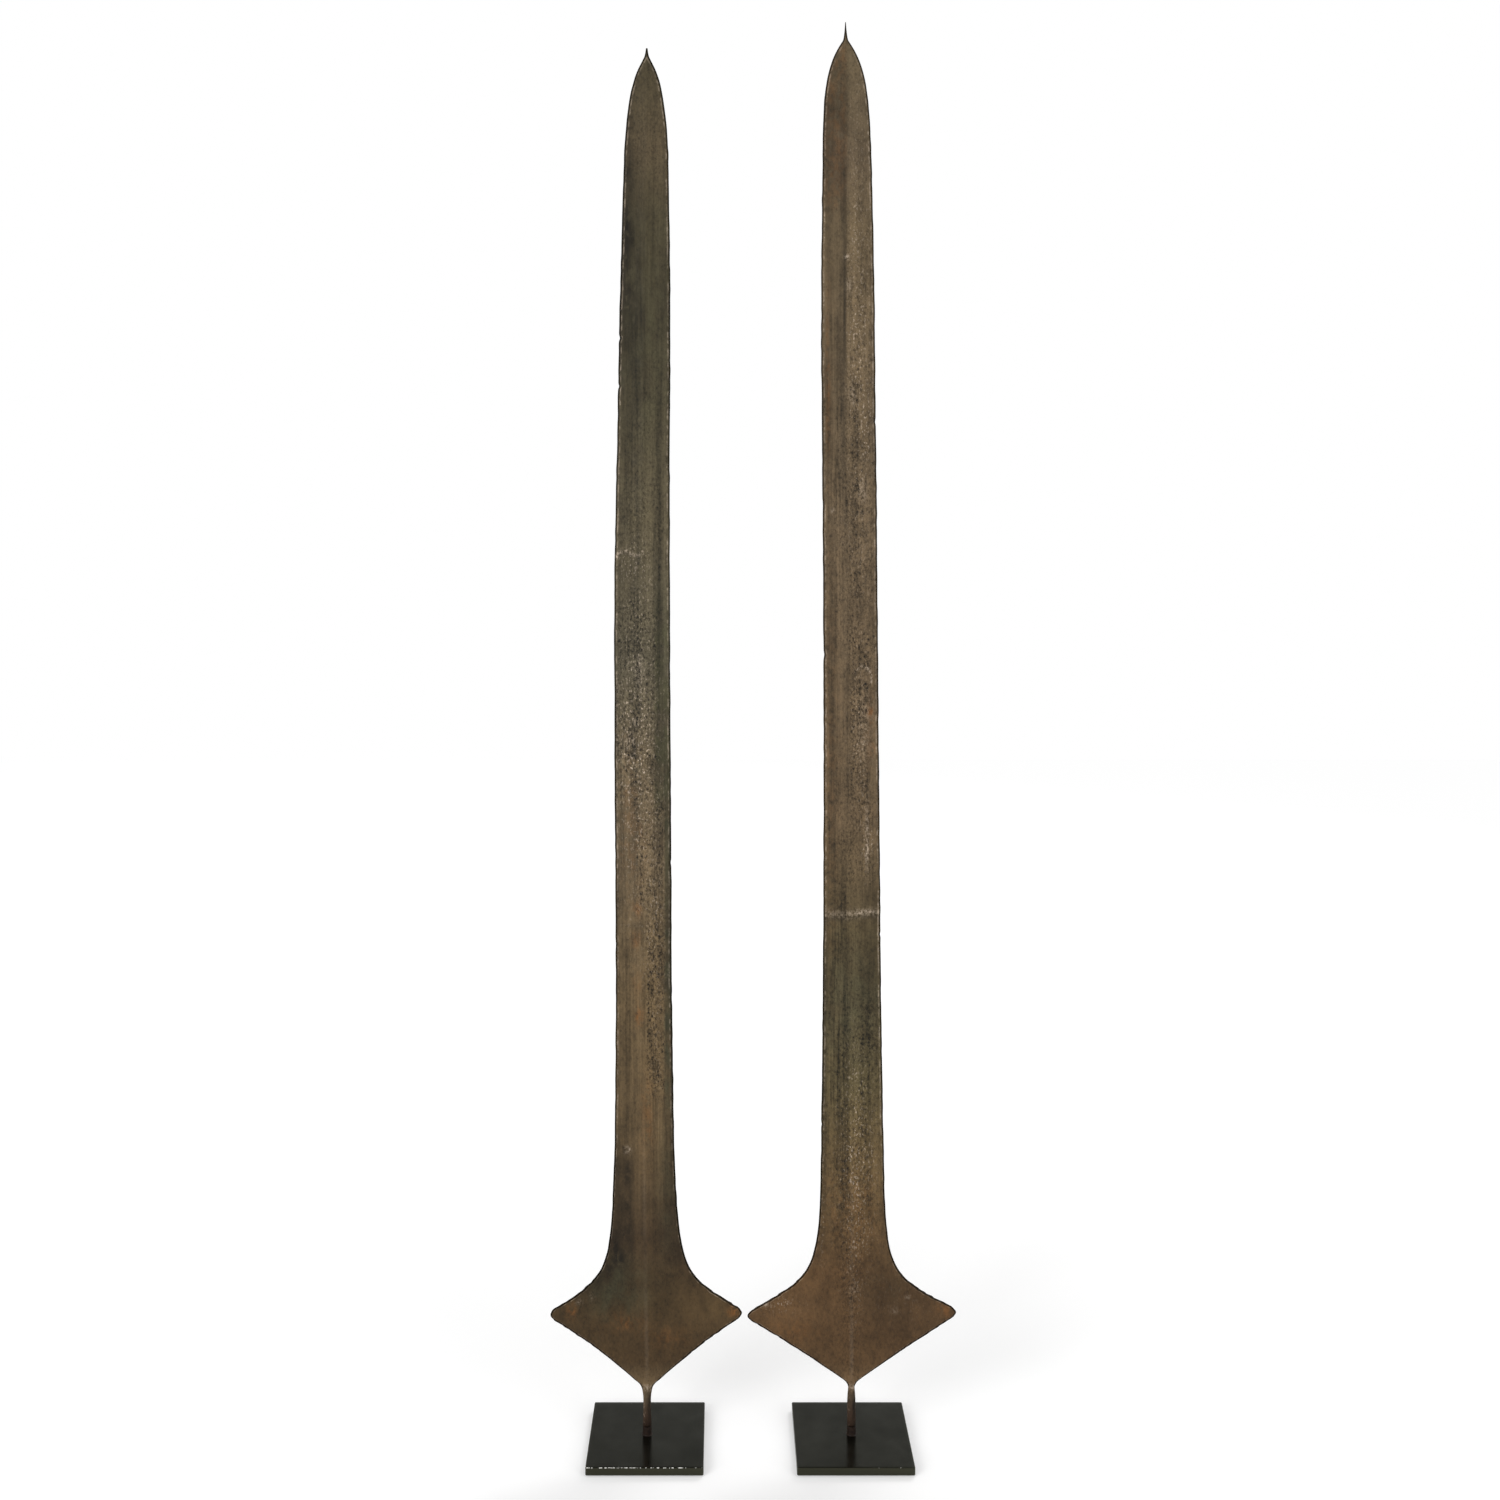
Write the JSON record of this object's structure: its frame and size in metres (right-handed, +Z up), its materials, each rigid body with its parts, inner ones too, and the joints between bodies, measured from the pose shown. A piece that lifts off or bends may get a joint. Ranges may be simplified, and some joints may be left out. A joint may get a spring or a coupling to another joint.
{
  "type": "spear currency",
  "caption": "Matched pair of tall forged iron spear-blade currencies with long flat blades and diamond ears, each lifting out of a socket on a square steel base.",
  "frame": {"origin": "on the table, under the middle of the box round the whole pair", "axes": "+Z up along the blades, -Y the front that the picture shows, +X from the left stand to the right stand"},
  "size_m": [0.4976, 0.14, 1.7412],
  "materials": {
    "forged_iron": "aged, brown patina, hand forged",
    "socket_steel": "satin, brown-black paint",
    "black_paint": "satin black paint",
    "grey_felt": "pressed felt"
  },
  "bodies": {
    "stands": {"left_plate": "black_paint", "left_socket": "socket_steel", "left_pad_front_left": "grey_felt", "left_pad_front_right": "grey_felt", "left_pad_back_left": "grey_felt", "left_pad_back_right": "grey_felt", "right_plate": "black_paint", "right_socket": "socket_steel", "right_pad_front_left": "grey_felt", "right_pad_front_right": "grey_felt", "right_pad_back_left": "grey_felt", "right_pad_back_right": "grey_felt"},
    "left_spear": {"left_blade": "forged_iron"},
    "right_spear": {"right_blade": "forged_iron"}
  },
  "joints": [
    {"name": "left_spear_lift", "type": "slide", "parent": "stands", "child": "left_spear", "axis": [0, 0, 1], "range_m": [0, 0.03]},
    {"name": "right_spear_lift", "type": "slide", "parent": "stands", "child": "right_spear", "axis": [0, 0, 1], "range_m": [0, 0.03]}
  ]
}
